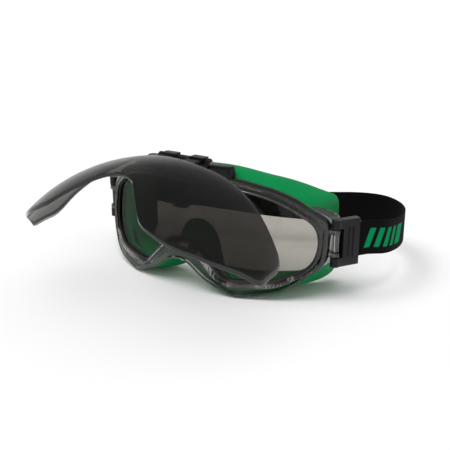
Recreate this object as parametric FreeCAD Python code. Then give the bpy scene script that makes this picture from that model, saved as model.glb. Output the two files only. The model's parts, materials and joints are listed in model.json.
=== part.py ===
"""Flip-up welding goggles: frame, clear lens, face seal, brow hinge, flip-up shade and head strap.

Millimetres. +X is the wearer's left, -Y is forward, +Z is up. The part stands on its two frame
lobes and the lower edge of its face seal, with the shade raised. Shapes are drawn with the middle
plane at x = 0 and the floor near z = 0, and moved at the end so that the origin is the centre of
the overall box at its base.
"""
import FreeCAD, Part

import math
import os

from FreeCAD import Vector

# ---------------------------------------------------------------- driving sizes
RIM_FRONT_Y = 4.9           # front of the frame at mid height
RIM_RADIUS = 126.3          # wrap of the frame's front face
RIM_LEAN = 7.0              # the frame leans back at its top, degrees
RIM_LEAN_Z = 46.5           # height at which the lean is measured
RIM_TOP_Z = 71.6            # top of the frame
RIM_HALF_WIDTH = 84.2       # half of the frame's width
HINGE_Y = 9.0               # flip hinge axis, above the frame's brow
HINGE_Z = RIM_TOP_Z + 6.4
FLANGE = 1.4                # thickness of the frame's front flange
FRAME_BACK_Y = 13.5         # back edge of the frame at its middle
FRAME_BACK_RADIUS = 108.0   # wrap of the frame's back edge, deeper at the temples

TEMPLE_Y = RIM_FRONT_Y + RIM_RADIUS - math.sqrt(RIM_RADIUS ** 2 - RIM_HALF_WIDTH ** 2)
CLIP_X = RIM_HALF_WIDTH + 3.2       # vertical pivot of each strap clip
CLIP_Y = TEMPLE_Y + 1.14

LENS_THICK = 2.2            # clear lens
LENS_OVERLAP = 1.6          # how far the clear lens runs under the flange
GASKET_OVERLAP = 3.0        # how far the gasket runs under the flange
GASKET_LIP = 1.0            # gasket showing inside the aperture
GASKET_DEPTH = 4.4          # gasket, front to back

SEAL_WALL = 3.2             # face seal
SEAL_BACK_Y = 25.0          # back edge of the seal at its middle
SEAL_BACK_RADIUS = 90.0     # wrap of the wearer's face
SEAL_TEMPLE_Y = CLIP_Y + 25.8       # the seal ends here at the temples
SEAL_LOFT_END_Y = SEAL_TEMPLE_Y + 11.0      # plane on which the seal's rear outline is drawn

SLOT_WIDTH = 10.0           # brow vent slots
SLOT_HEIGHT = 1.5
SLOT_PITCH = 15.0
SLOT_COUNT = 4
BAFFLE_THICK = 1.2
BAFFLE_DEPTH = 3.5
BAFFLE_HALF_SPAN = 32.0
SIDE_VENT_Y = (CLIP_Y + 5.3, CLIP_Y + 11.8)
SIDE_VENT_Z = ((21.5, 25.5), (29.5, 43.5))

SHADE_RADIUS = 101.0        # outside of the shade, nearly a sphere
SHADE_THICK = 2.5
SHADE_TOP_Y = -6.8          # top edge of the shade when hanging upright, from the hinge axis
SHADE_TOP_Z = -13.2
SHADE_BULGE = 32.0          # the shade is deepest this far below its top edge
SHADE_RAISED = 80.8         # angle from hanging upright to the raised rest position, degrees

PIN_R = 1.2                 # hinge pin
PIN_RUN = 0.06              # running clearance of both kinds of pin
KNUCKLE_R = 3.1
KNUCKLE_X = (5.5, 15.5)     # each carrier knuckle, from the middle outwards
KNUCKLE_CAP = 3.3           # flat top of each knuckle above the axis, when raised
BARREL_R = 2.1              # carrier between its knuckles
EAR_X = (16.0, 18.6)        # each ear of the hinge base
EAR_R = 3.0
ARM_THICK = 2.6             # carrier arms from the knuckles to the shade
ARM_DROP = 0.4              # arms below the axis at the knuckles, when raised
TONGUE = 1.5                # carrier behind the shade
TONGUE_REACH = 9.0          # down behind the shade
TONGUE_HALF_WIDTH = 18.0
RIVET_R = 1.4
RIVET_HEAD_R = 2.3
RIVET_HEAD = 0.7
RIVET_DROP = 4.5            # rivet below the shade's edge

BASE_HALF_WIDTH = 32.5      # hinge base
BASE_HEIGHT = 5.4           # arms above the frame's top
BASE_MIDDLE_HEIGHT = 2.2    # between the arms
BASE_LIP = 1.2              # in front of the frame
BASE_DEPTH = 6.6            # over the frame's top
BASE_HOOK = 2.6             # down over the frame's front
BASE_MIDDLE_Y = 10.4        # front of the base between its arms, clear of the carrier
BASE_ROUND = 1.6            # fillet round the top of each arm
SPRING_GAP = 0.35           # from the knuckles
SPRING_THICK = 0.4
SPRING_HEIGHT = 6.0

STRAP_WIDTH = 21.5
STRAP_THICK = 1.6
STRAP_BOTTOM_Z = 24.0       # lower edge of the strap at the clips
CLIP_Z = (STRAP_BOTTOM_Z - 4.0, STRAP_BOTTOM_Z + STRAP_WIDTH + 3.1)
CLIP_FLARE = 30.0           # clip direction outwards from straight back, degrees
CLIP_LENGTH = 15.0          # from the pivot to the rear end
CLIP_THICK = 4.6
CLIP_NECK = 3.8             # from the pivot to the clip's plate
JAW_HEIGHT = 5.4
JAW_R = 2.8
CLIP_PIN_R = 1.5
CLIP_PIN_STANDOFF = 1.6     # clip material beyond each end of its pin
CLIP_PIN_GAP = 0.2          # from a pin's end to the bottom of its bore
LUG_R = 2.7                 # frame lugs that hold the pins
LUG_HEIGHT = 3.0
LUG_GAP = 0.4               # from a lug to the clip's jaw
LUG_ROOT_X = RIM_HALF_WIDTH - 1.3   # lugs grow from the frame's side wall
LUG_ROOT_HALF_DEPTH = 2.0
RIDGE_R = 0.7               # finger ridges on each clip
RIDGE_AT = (8.0, 11.0)

STRAP_GAP = 0.3             # strap in its slots
STRAP_START = 8.0           # strap end inside the clip, from the pivot
STRAP_END_R = 24.0          # strap end that turns with the clip, from the pivot
STRAP_CUT = 0.5             # from the strap end to the head band
STRAP_FLAT = 7.0            # length of each flat along the head band, about

# lie of the head band's middle line, from each clip: x, y and height of the lower edge
NEAR_ROUTE = (
    (104.0, 67.5, 22.5), (105.5, 80.0, 20.5), (104.0, 97.0, 18.5), (98.0, 117.0, 17.0),
    (87.0, 133.0, 16.0), (71.0, 142.0, 15.5), (54.0, 138.0, 15.5), (39.0, 124.0, 16.5),
    (20.0, 109.0, 18.5), (1.0, 99.5, 20.0), (-19.0, 93.0, 21.3),
)
FAR_ROUTE = ((-104.0, 71.5, 23.0), (-98.0, 77.0, 22.2))
SLIDER_POINT = (-62.0, 84.0, 22.0)  # slider in the middle of a straight, level stretch
ROUTE_CLIP = (87.4, 38.2)           # place of the left clip for which the route is drawn
SLIDER_RUN = (-21.0, -4.0, 0.0)     # direction of that stretch, towards the wearer's right
RUN_HALF = 24.0
SLIDER_LENGTH = 11.0
SLIDER_WALL = 1.4
SLIDER_BAR = 2.6            # width of the slider's cross bar
TAIL_LENGTH = 9.0           # folded strap showing beyond the slider

RIM_CORNERS = (
    (30.0, RIM_TOP_Z + 0.2, 90.0), (62.0, RIM_TOP_Z - 7.6, 60.0), (RIM_HALF_WIDTH, 47.0, 7.0),
    (RIM_HALF_WIDTH, 21.0, 14.0), (65.0, 4.0, 25.0), (38.0, -1.0, 14.0), (19.0, 7.0, 40.0),
    (5.0, 16.4, 12.0),
)
APERTURE_CORNERS = (
    (28.0, RIM_TOP_Z - 6.4, 90.0), (56.0, RIM_TOP_Z - 11.8, 60.0), (RIM_HALF_WIDTH - 6.7, 45.0, 14.0),
    (RIM_HALF_WIDTH - 4.0, 33.0, 25.0), (RIM_HALF_WIDTH - 6.7, 19.5, 16.0), (60.0, 9.6, 25.0), (29.5, 7.8, 6.0), (9.5, 28.0, 9.0),
)
SEAL_REAR_CORNERS = (
    (30.0, RIM_TOP_Z + 5.4, 60.0), (58.0, RIM_TOP_Z - 2.6, 50.0), (RIM_HALF_WIDTH - 7.2, 55.0, 9.0),
    (RIM_HALF_WIDTH - 7.7, 10.0, 10.0),
    (70.0, -4.0, 9.0), (40.0, -4.0, 12.0), (18.0, 10.0, 16.0), (6.0, 32.0, 10.0),
)
SHADE_CORNERS = (
    (22.0, -1.0, 25.0), (38.0, 3.5, 40.0), (60.0, -3.0, 90.0), (84.8, -19.5, 12.0),
    (84.6, -41.0, 5.0), (68.0, -57.0, 45.0), (50.0, -67.3, 30.0), (33.0, -67.0, 8.0),
    (7.5, -41.0, 14.0),
)

X_AXIS = Vector(1, 0, 0)
Y_AXIS = Vector(0, 1, 0)
Z_AXIS = Vector(0, 0, 1)
FRONT = -80.0               # y range and reach of the cutting solids
BACK = 90.0
FAR = 400.0


# ---------------------------------------------------------------- outlines in the XZ plane
def whole_outline(half):
    """Both halves of an outline given from the top to the bottom middle for x >= 0."""
    mirrored = [(-x, z, r) for x, z, r in reversed(half) if x > 0]
    return list(half) + mirrored


def offset_corners(corners, grow):
    """Corners of an outline moved outwards by grow, with its corner radii following."""
    moved = []
    count = len(corners)
    for i, (x, z, radius) in enumerate(corners):
        before, after = corners[i - 1], corners[(i + 1) % count]
        into = Vector(x - before[0], 0, z - before[1]).normalize()
        out = Vector(after[0] - x, 0, after[1] - z).normalize()
        normal_in = Vector(-into.z, 0, into.x)
        normal_out = Vector(-out.z, 0, out.x)
        turn = into.z * out.x - into.x * out.z
        shift = (normal_in + normal_out) * (grow / (1 + normal_in.dot(normal_out)))
        moved.append((x + shift.x, z + shift.z, max(radius + math.copysign(grow, turn), 0.5)))
    return moved


def outline_wire(corners, y):
    """Closed wire of straight runs and tangent arcs at height y along the Y axis."""
    points = [Vector(x, y, z) for x, z, _ in corners]
    edges = []
    arcs = []
    count = len(points)
    for i, point in enumerate(points):
        to_before = (points[i - 1] - point).normalize()
        to_after = (points[(i + 1) % count] - point).normalize()
        half_angle = to_before.getAngle(to_after) / 2
        radius = corners[i][2]
        reach = min(radius / math.tan(half_angle),
                    0.48 * (points[i - 1] - point).Length,
                    0.48 * (points[(i + 1) % count] - point).Length)
        radius = reach * math.tan(half_angle)
        middle = (to_before + to_after).normalize()
        crown = point + middle * (radius / math.sin(half_angle) - radius)
        arcs.append((point + to_before * reach, crown, point + to_after * reach))
    for i, (start, crown, end) in enumerate(arcs):
        edges.append(Part.Arc(start, crown, end).toShape())
        edges.append(Part.makeLine(end, arcs[(i + 1) % count][0]))
    return Part.Wire(edges)


def prism(half, grow=0.0):
    """The outline, grown by grow, run along Y through everything."""
    corners = offset_corners(whole_outline(half), grow)
    return Part.Face(outline_wire(corners, FRONT)).extrude(Vector(0, BACK - FRONT, 0))


def block(x, y, z):
    """Box between two limits on each axis."""
    corner = Vector(x[0], y[0], z[0])
    return Part.makeBox(x[1] - x[0], y[1] - y[0], z[1] - z[0], corner)


def mirror_x(shape):
    return shape.mirror(Vector(0, 0, 0), X_AXIS)


def true_box(shape):
    """Tight box, worked out from the surfaces."""
    return shape.optimalBoundingBox(False, False)


# ---------------------------------------------------------------- curved layers
def lean(shape):
    """Lean a shape back by the frame's angle."""
    tilted = shape.copy()
    tilted.rotate(Vector(0, RIM_FRONT_Y, RIM_LEAN_Z), X_AXIS, -RIM_LEAN)
    return tilted


def barrel(front_y, radius, inset=0.0):
    """Everything behind a leaning round face, inset behind it."""
    centre = Vector(0, front_y + radius, -FAR / 2)
    return lean(Part.makeCylinder(radius - inset, FAR, centre, Z_AXIS))


def rim_layer(near, far):
    """The layer between two depths behind the frame's front face."""
    return barrel(RIM_FRONT_Y, RIM_RADIUS, near).cut(barrel(RIM_FRONT_Y, RIM_RADIUS, far))


def face_barrel():
    """Everything behind the wearer's face line."""
    centre = Vector(0, SEAL_BACK_Y + SEAL_BACK_RADIUS, -FAR / 2)
    return Part.makeCylinder(SEAL_BACK_RADIUS, FAR, centre, Z_AXIS)


# ---------------------------------------------------------------- frame and lens
def clip_pivot(side):
    return Vector(side * CLIP_X, CLIP_Y, 0)


def frame_lugs(side):
    """Two lugs that hold a clip's pin, just inside the clip's jaws."""
    pivot = clip_pivot(side)
    bottoms = (CLIP_Z[0] + JAW_HEIGHT + LUG_GAP, CLIP_Z[1] - JAW_HEIGHT - LUG_GAP - LUG_HEIGHT)
    lugs = []
    for bottom in bottoms:
        eye = Part.makeCylinder(LUG_R, LUG_HEIGHT, pivot + Z_AXIS * bottom, Z_AXIS)
        inner_x, outer_x = sorted((side * LUG_ROOT_X, pivot.x))
        root = block((inner_x, outer_x),
                     (CLIP_Y - LUG_ROOT_HALF_DEPTH, CLIP_Y + LUG_ROOT_HALF_DEPTH),
                     (bottom, bottom + LUG_HEIGHT))
        lugs.append(eye.fuse(root))
    return lugs


def brow_slots():
    """Vent slots through the top of the frame, along Y."""
    middle_z = RIM_TOP_Z - 1.9
    slots = []
    for i in range(SLOT_COUNT):
        middle_x = (i - (SLOT_COUNT - 1) / 2) * SLOT_PITCH
        slots.append(block((middle_x - SLOT_WIDTH / 2, middle_x + SLOT_WIDTH / 2),
                           (FRONT, BACK), (middle_z - SLOT_HEIGHT / 2, middle_z + SLOT_HEIGHT / 2)))
    return slots


def side_vents():
    """Windows through the frame's temple walls."""
    return [block((-RIM_HALF_WIDTH - 2, RIM_HALF_WIDTH + 2), SIDE_VENT_Y, z) for z in SIDE_VENT_Z]


def make_frame():
    body = prism(RIM_CORNERS).common(barrel(RIM_FRONT_Y, RIM_RADIUS))
    body = body.cut(barrel(FRAME_BACK_Y, FRAME_BACK_RADIUS))
    pocket = prism(APERTURE_CORNERS, GASKET_OVERLAP).common(barrel(RIM_FRONT_Y, RIM_RADIUS, FLANGE))
    body = body.cut([prism(APERTURE_CORNERS), pocket] + brow_slots() + side_vents())
    for side in (1, -1):
        body = body.fuse(frame_lugs(side))
    return body.cut([clip_pin(1), clip_pin(-1)]).removeSplitter()


def make_lens():
    depth = FLANGE + (GASKET_DEPTH - LENS_THICK) / 2
    return prism(APERTURE_CORNERS, LENS_OVERLAP).common(rim_layer(depth, depth + LENS_THICK))


def make_gasket(lens):
    ring = prism(APERTURE_CORNERS, GASKET_OVERLAP).cut(prism(APERTURE_CORNERS, -GASKET_LIP))
    return ring.common(rim_layer(FLANGE, FLANGE + GASKET_DEPTH)).cut(lens)


def make_baffle():
    """Thin black strip under the frame's top, behind the brow slots and the gasket."""
    band = prism(APERTURE_CORNERS, GASKET_OVERLAP).cut(
        prism(APERTURE_CORNERS, GASKET_OVERLAP - BAFFLE_THICK))
    depth = FLANGE + GASKET_DEPTH
    span = block((-BAFFLE_HALF_SPAN, BAFFLE_HALF_SPAN), (FRONT, BACK), (RIM_LEAN_Z, RIM_TOP_Z))
    return band.common(rim_layer(depth, depth + BAFFLE_DEPTH)).common(span)


def make_seal(floor_z):
    """Soft wall from the frame's back edge to the wearer's face, flat where it stands."""
    front = whole_outline(RIM_CORNERS)
    rear = whole_outline(SEAL_REAR_CORNERS)
    walls = []
    for grow in (-0.3, -SEAL_WALL):
        wires = [outline_wire(offset_corners(front, grow), RIM_FRONT_Y),
                 outline_wire(offset_corners(rear, grow), SEAL_LOFT_END_Y)]
        walls.append(Part.makeLoft(wires, True, True))
    seal = walls[0].cut(walls[1])
    seal = seal.common(barrel(FRAME_BACK_Y, FRAME_BACK_RADIUS)).cut(face_barrel())
    return seal.common(block((-FAR, FAR), (-FAR, SEAL_TEMPLE_Y), (floor_z, FAR)))


# ---------------------------------------------------------------- flip hinge and shade, closed
def hinge_point(y, z):
    return Vector(0, HINGE_Y + y, HINGE_Z + z)


def hinge_cylinder(radius, x):
    return Part.makeCylinder(radius, x[1] - x[0], hinge_point(0, 0) + X_AXIS * x[0], X_AXIS)


def shade_ball(radius):
    drop = SHADE_TOP_Z - SHADE_BULGE
    centre_y = SHADE_TOP_Y + math.sqrt(SHADE_RADIUS ** 2 - SHADE_BULGE ** 2)
    return Part.makeSphere(radius, hinge_point(centre_y, drop))


def shade_front():
    """Everything in front of a plane well inside the shade's ball."""
    return block((-FAR, FAR), (FRONT, BACK - 25), (-FAR, FAR))


def make_rivets():
    """One rivet through each knuckle's clamp, square to the shade."""
    rivets = []
    z = SHADE_TOP_Z - RIVET_DROP
    middle_x = sum(KNUCKLE_X) / 2
    centre = shade_ball(1.0).CenterOfMass
    for side in (1, -1):
        target = hinge_point(SHADE_TOP_Y, z) + X_AXIS * (side * middle_x)
        outward = (target - centre).normalize()
        inner = SHADE_RADIUS - SHADE_THICK - TONGUE
        shank = Part.makeCylinder(RIVET_R, SHADE_RADIUS - inner, centre + outward * inner, outward)
        head = Part.makeCylinder(RIVET_HEAD_R, RIVET_HEAD, centre + outward * inner, -outward)
        rivets.append(shank.fuse(head).common(shade_ball(SHADE_RADIUS)))
    return Part.makeCompound(rivets)


def make_shade(rivets):
    corners = [(x, HINGE_Z + SHADE_TOP_Z + z, r) for x, z, r in SHADE_CORNERS]
    skin = shade_ball(SHADE_RADIUS).cut(shade_ball(SHADE_RADIUS - SHADE_THICK))
    return skin.common(prism(corners)).common(shade_front()).cut(rivets)


def upright(shape):
    """Turn a shape drawn in the raised position to where it hangs upright."""
    turned = shape.copy()
    turned.rotate(hinge_point(0, 0), X_AXIS, SHADE_RAISED)
    return turned


def knuckle():
    """Round knuckle with a square top, and its arm forward to the shade, drawn raised."""
    cap = block(KNUCKLE_X, (HINGE_Y - KNUCKLE_R, HINGE_Y + KNUCKLE_R), (HINGE_Z, HINGE_Z + KNUCKLE_CAP))
    arm_top = HINGE_Z + ARM_THICK - ARM_DROP
    arm = block(KNUCKLE_X, (HINGE_Y + SHADE_TOP_Z, HINGE_Y), (HINGE_Z - ARM_DROP, arm_top))
    return hinge_cylinder(KNUCKLE_R, KNUCKLE_X).fuse([upright(cap), upright(arm)])


def tongue():
    """Thin plate that follows the inside of the shade below its top edge."""
    inner = SHADE_RADIUS - SHADE_THICK
    shell = shade_ball(inner).cut(shade_ball(inner - TONGUE))
    top = HINGE_Z + SHADE_TOP_Z
    return shell.common(block((-TONGUE_HALF_WIDTH, TONGUE_HALF_WIDTH), (-FAR, BACK - 60),
                              (top - TONGUE_REACH, top + TONGUE)))


def make_carrier(shade, rivets):
    side = knuckle()
    barrel_x = (-KNUCKLE_X[0], KNUCKLE_X[0])
    whole = side.fuse([mirror_x(side), tongue(), hinge_cylinder(BARREL_R, barrel_x)])
    bore = hinge_cylinder(PIN_R + PIN_RUN, (-EAR_X[1], EAR_X[1]))
    outside = shade_ball(FAR).cut(shade_ball(SHADE_RADIUS - SHADE_THICK)).common(
        block((-FAR, FAR), (-FAR, HINGE_Y), (-FAR, HINGE_Z + SHADE_TOP_Z + TONGUE)))
    return whole.cut([outside, shade, bore, rivets]).removeSplitter()


def make_pin():
    return hinge_cylinder(PIN_R, (-EAR_X[1] - PIN_R, EAR_X[1] + PIN_R))


def brow_ring(height, bottom):
    """Curved strip along the frame's brow."""
    lean_y = math.tan(math.radians(RIM_LEAN)) * (RIM_TOP_Z - RIM_LEAN_Z)
    centre = Vector(0, RIM_FRONT_Y + lean_y + RIM_RADIUS, bottom)
    outer = Part.makeCylinder(RIM_RADIUS + BASE_LIP, height, centre, Z_AXIS)
    return outer.cut(Part.makeCylinder(RIM_RADIUS - BASE_DEPTH, height, centre, Z_AXIS))


def base_arm():
    """Left arm of the base with a round end, hooked over the frame's front."""
    bottom = RIM_TOP_Z - BASE_HOOK
    height = BASE_HEIGHT + BASE_HOOK
    half = (BASE_LIP + BASE_DEPTH) / 2
    outer_r, inner_r = RIM_RADIUS + BASE_LIP, RIM_RADIUS - BASE_DEPTH
    middle_r = outer_r - half
    lean_y = math.tan(math.radians(RIM_LEAN)) * (RIM_TOP_Z - RIM_LEAN_Z)
    centre = Vector(0, RIM_FRONT_Y + lean_y + RIM_RADIUS, bottom)
    start = math.asin(EAR_X[0] / middle_r)
    end = math.asin((BASE_HALF_WIDTH - half) / middle_r)

    def at(radius, turn):
        return centre + Vector(math.sin(turn), -math.cos(turn), 0) * radius

    tip = at(middle_r, end) + Vector(math.cos(end), math.sin(end), 0) * half
    halfway = (start + end) / 2
    sides = [Part.Arc(at(outer_r, start), at(outer_r, halfway), at(outer_r, end)),
             Part.Arc(at(outer_r, end), tip, at(inner_r, end)),
             Part.Arc(at(inner_r, end), at(inner_r, halfway), at(inner_r, start)),
             Part.LineSegment(at(inner_r, start), at(outer_r, start))]
    arm = Part.Face(Part.Wire([side.toShape() for side in sides])).extrude(Z_AXIS * height)
    tops = [edge for edge in arm.Edges if edge.BoundBox.ZMin > bottom + height - 0.01
            and edge.Curve.TypeId == "Part::GeomCircle"]
    return arm.makeFillet(BASE_ROUND, tops)


def base_ear():
    """Eye round the hinge pin, standing on the arm."""
    root = block(EAR_X, (HINGE_Y - EAR_R, HINGE_Y + EAR_R), (RIM_TOP_Z, HINGE_Z))
    return hinge_cylinder(EAR_R, EAR_X).fuse(root)


def make_base(pin):
    """Hinge base that sits on the brow, hooks over its front and holds the pin."""
    middle = brow_ring(BASE_MIDDLE_HEIGHT + 1, RIM_TOP_Z - 1).common(
        block((-EAR_X[0] - 1, EAR_X[0] + 1), (BASE_MIDDLE_Y, BACK - 30), (0, HINGE_Z)))
    left = base_arm().fuse(base_ear())
    body = middle.fuse([left, mirror_x(left)])
    brow = prism(RIM_CORNERS).common(barrel(RIM_FRONT_Y, RIM_RADIUS))
    return body.cut([brow, pin]).removeSplitter()


def make_spring():
    """Leaf that stands on the base behind the knuckles and holds the shade up or down."""
    front_y = HINGE_Y + KNUCKLE_R + SPRING_GAP
    bottom = RIM_TOP_Z + BASE_MIDDLE_HEIGHT
    return block((-KNUCKLE_X[1] + 1, KNUCKLE_X[1] - 1), (front_y, front_y + SPRING_THICK),
                 (bottom, bottom + SPRING_HEIGHT))


def raise_shade(shape):
    raised = shape.copy()
    raised.rotate(hinge_point(0, 0), X_AXIS, -SHADE_RAISED)
    return raised


# ---------------------------------------------------------------- strap clips
def clip_pin(side):
    bottom = CLIP_Z[0] + CLIP_PIN_STANDOFF
    height = CLIP_Z[1] - CLIP_Z[0] - 2 * CLIP_PIN_STANDOFF
    return Part.makeCylinder(CLIP_PIN_R, height, clip_pivot(side) + Z_AXIS * bottom, Z_AXIS)


def along_clip(side, shape):
    """Place a shape drawn along +Y from the pivot in the direction of a clip."""
    placed = shape.copy()
    placed.rotate(Vector(0, 0, 0), Z_AXIS, -side * CLIP_FLARE)
    placed.translate(clip_pivot(side))
    return placed


def make_clip(side):
    """Clip with two jaws on its pin, a slot for the strap and finger ridges outside."""
    half = CLIP_THICK / 2
    plate = block((-half, half), (CLIP_NECK, CLIP_LENGTH), CLIP_Z)
    jaws = []
    for bottom in (CLIP_Z[0], CLIP_Z[1] - JAW_HEIGHT):
        eye = Part.makeCylinder(JAW_R, JAW_HEIGHT, Vector(0, 0, bottom), Z_AXIS)
        neck = block((-half, half), (0, CLIP_NECK), (bottom, bottom + JAW_HEIGHT))
        jaws.append(eye.fuse(neck))
    ridges = [Part.makeCylinder(RIDGE_R, CLIP_Z[1] - CLIP_Z[0] - 2 * JAW_HEIGHT,
                                Vector(side * half, y, CLIP_Z[0] + JAW_HEIGHT), Z_AXIS) for y in RIDGE_AT]
    slot_half = STRAP_THICK / 2 + STRAP_GAP
    slot = block((-slot_half, slot_half), (STRAP_START, CLIP_LENGTH),
                 (STRAP_BOTTOM_Z - STRAP_GAP, STRAP_BOTTOM_Z + STRAP_WIDTH + STRAP_GAP))
    bore_bottom = CLIP_Z[0] + CLIP_PIN_STANDOFF - CLIP_PIN_GAP
    bore_height = CLIP_Z[1] - CLIP_Z[0] - 2 * (CLIP_PIN_STANDOFF - CLIP_PIN_GAP)
    bore = Part.makeCylinder(CLIP_PIN_R + PIN_RUN, bore_height, Vector(0, 0, bore_bottom), Z_AXIS)
    body = plate.fuse(jaws + ridges).cut([slot, bore])
    return along_clip(side, body.removeSplitter())


def strap_cutter(side, radius):
    return Part.makeCylinder(radius, FAR, clip_pivot(side) - Z_AXIS * (FAR / 2), Z_AXIS)


def make_strap_end(side):
    """Short end of the strap that turns with its clip."""
    half = STRAP_THICK / 2
    band = block((-half, half), (STRAP_START, STRAP_END_R + 5),
                 (STRAP_BOTTOM_Z, STRAP_BOTTOM_Z + STRAP_WIDTH))
    return along_clip(side, band).common(strap_cutter(side, STRAP_END_R))


# ---------------------------------------------------------------- head band and slider
def clip_direction(side):
    angle = math.radians(CLIP_FLARE)
    return Vector(side * math.sin(angle), math.cos(angle), 0)


def route_point(point):
    """A point of the route, moved with the clips from where they were when it was drawn."""
    x, y, z = point
    return Vector(x * CLIP_X / ROUTE_CLIP[0], y + CLIP_Y - ROUTE_CLIP[1], z)


def strap_lines():
    """Lower edge of the band as three curves: clip to straight run, the run, and on to the other clip."""
    run = Vector(*SLIDER_RUN).normalize()
    run_start = route_point(SLIDER_POINT) - run * RUN_HALF
    run_end = route_point(SLIDER_POINT) + run * RUN_HALF
    clip_ends = [clip_pivot(side) + clip_direction(side) * (STRAP_END_R - 2) + Z_AXIS * STRAP_BOTTOM_Z
                 for side in (1, -1)]
    near = Part.BSplineCurve()
    near.interpolate([clip_ends[0]] + [route_point(point) for point in NEAR_ROUTE] + [run_start],
                     InitialTangent=clip_direction(1), FinalTangent=run)
    far = Part.BSplineCurve()
    far.interpolate([run_end] + [route_point(point) for point in reversed(FAR_ROUTE)] + [clip_ends[1]],
                    InitialTangent=run, FinalTangent=-clip_direction(-1))
    return near, Part.LineSegment(run_start, run_end), far


def strap_section(middle, tangent):
    """Upright cross-section of the band above a point of its lower edge."""
    across = Vector(tangent.y, -tangent.x, 0).normalize() * (STRAP_THICK / 2)
    up = Z_AXIS * STRAP_WIDTH
    points = [middle - across, middle + across, middle + across + up, middle - across + up]
    return Part.makePolygon(points + points[:1])


def make_band():
    sections = []
    for line in strap_lines():
        flats = math.ceil(line.length() / STRAP_FLAT)
        first, last = line.FirstParameter, line.LastParameter
        for i in range(1 if sections else 0, flats + 1):
            at = first + (last - first) * i / flats
            sections.append(strap_section(line.value(at), line.tangent(at)[0]))
    band = Part.makeLoft(sections, True, True)
    return band.cut([strap_cutter(side, STRAP_END_R + STRAP_CUT) for side in (1, -1)])


def along_run(shape):
    """Place a shape drawn along +X at the slider's place on the band."""
    placed = shape.copy()
    angle = math.degrees(math.atan2(SLIDER_RUN[1], SLIDER_RUN[0]))
    placed.rotate(Vector(0, 0, 0), Z_AXIS, angle)
    middle = route_point(SLIDER_POINT)
    placed.translate(Vector(middle.x, middle.y, 0))
    return placed


def make_slider():
    """Sleeve round the band and its folded end, with a cross bar showing between two windows."""
    layers = 2 * STRAP_THICK + 3 * STRAP_GAP * 2
    inner_y = (-STRAP_THICK / 2 - 2 * STRAP_GAP, layers - STRAP_THICK / 2 - 2 * STRAP_GAP)
    inner_half_z = STRAP_WIDTH / 2 + 3 * STRAP_GAP
    middle_z = SLIDER_POINT[2] + STRAP_WIDTH / 2
    half = SLIDER_LENGTH / 2
    sleeve = block((-half, half), (inner_y[0] - SLIDER_WALL, inner_y[1] + SLIDER_WALL),
                   (middle_z - inner_half_z - SLIDER_WALL, middle_z + inner_half_z + SLIDER_WALL))
    passage = block((-half, half), inner_y, (middle_z - inner_half_z, middle_z + inner_half_z))
    windows = []
    window = half - SLIDER_WALL - SLIDER_BAR / 2
    for start in (-half + SLIDER_WALL, SLIDER_BAR / 2):
        windows.append(block((start, start + window), (-FAR, FAR),
                             (middle_z - STRAP_WIDTH / 2, middle_z + STRAP_WIDTH / 2)))
    return along_run(sleeve.cut([passage] + windows))


def make_tail():
    """Folded end of the strap, held in the slider beside the band."""
    layers = 2 * STRAP_THICK + 3 * STRAP_GAP * 2
    outer_y = layers - STRAP_THICK / 2 - 2 * STRAP_GAP
    middle_z = SLIDER_POINT[2] + STRAP_WIDTH / 2
    return along_run(block((-SLIDER_LENGTH / 2 + 1, SLIDER_LENGTH / 2 + TAIL_LENGTH),
                           (outer_y - STRAP_THICK, outer_y),
                           (middle_z - STRAP_WIDTH / 2, middle_z + STRAP_WIDTH / 2)))


# ---------------------------------------------------------------- assembly
def build():
    frame = make_frame()
    lens = make_lens()
    rivets = make_rivets()
    shade = make_shade(rivets)
    pin = make_pin()
    nodes = {
        "frame_shell": frame,
        "clear_lens": lens,
        "lens_gasket": make_gasket(lens),
        "brow_vent_baffle": make_baffle(),
        "face_seal": make_seal(true_box(frame).ZMin),
        "hinge_base": make_base(pin),
        "hinge_pin": pin,
        "detent_spring": make_spring(),
        "shade_carrier": raise_shade(make_carrier(shade, rivets)),
        "shade_lens": raise_shade(shade),
        "shade_rivets": raise_shade(rivets),
        "strap_band": make_band(),
        "strap_slider": make_slider(),
        "strap_tail": make_tail(),
    }
    for side, name in ((1, "left"), (-1, "right")):
        nodes["clip_pin_" + name] = clip_pin(side)
        nodes["strap_clip_" + name] = make_clip(side)
        nodes["strap_end_" + name] = make_strap_end(side)
    return nodes


def centre_on_base(nodes):
    """Move everything so that the origin is the bottom centre of the overall box."""
    box = FreeCAD.BoundBox()
    for shape in nodes.values():
        box.add(true_box(shape))
    shift = Vector(-box.Center.x, -box.Center.y, -box.ZMin)
    for shape in nodes.values():
        shape.translate(shift)
    return shift


def main():
    nodes = build()
    shift = centre_on_base(nodes)
    print("moved by", [round(value, 3) for value in shift])
    os.makedirs("parts", exist_ok=True)
    for name, shape in sorted(nodes.items()):
        shape.exportStep("parts/" + name + ".step")
        print(name, len(shape.Solids), shape.isValid(), round(shape.Volume, 1))


main()
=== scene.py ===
import json
import math

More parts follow.
